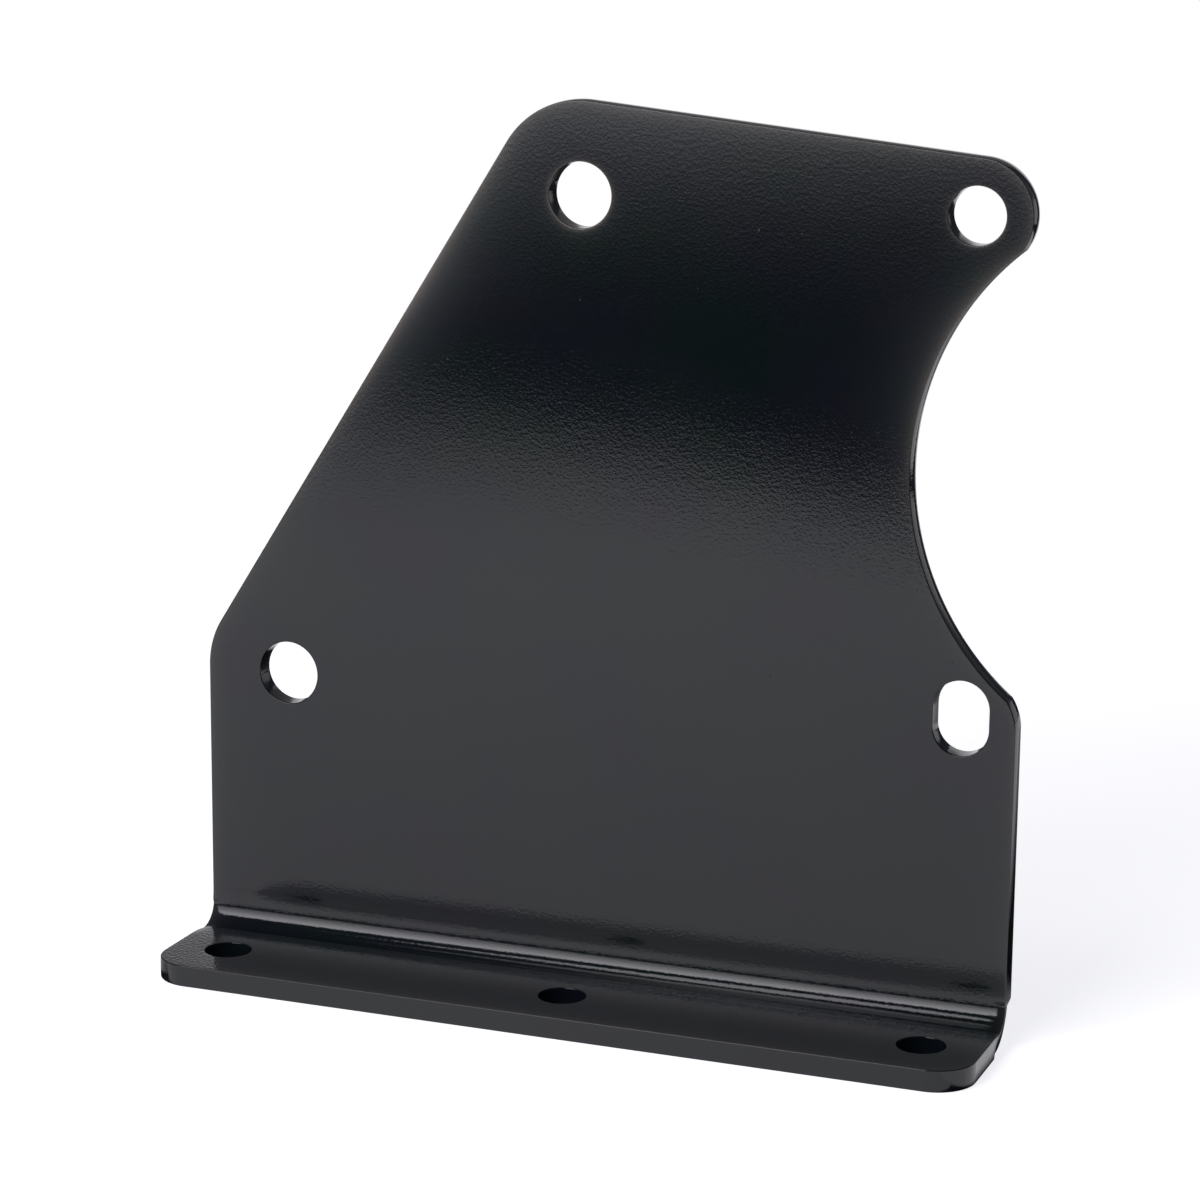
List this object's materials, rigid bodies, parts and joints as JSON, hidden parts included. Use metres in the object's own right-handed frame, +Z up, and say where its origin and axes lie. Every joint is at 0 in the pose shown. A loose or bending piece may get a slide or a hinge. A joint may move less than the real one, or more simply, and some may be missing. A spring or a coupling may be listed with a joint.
{
  "type": "transmission bench bracket",
  "caption": "Folded plate bracket that bolts to a bench and holds a transmission case against its upright face, with a round relief beside the case holes and a slotted hole.",
  "frame": {"origin": "on the axis of the middle bench bolt hole, in the plane of the flange's underside", "axes": "+Z up from the bench, +X along the fold towards the slotted hole, +Y from the bench flange back to the upright"},
  "size_m": [0.1846, 0.0366, 0.1929],
  "materials": {
    "powder_coat": "gloss black powder coat with a fine orange peel, over laser-cut and folded steel plate"
  },
  "bodies": {
    "root": {"bracket": "powder_coat"}
  },
  "joints": []
}
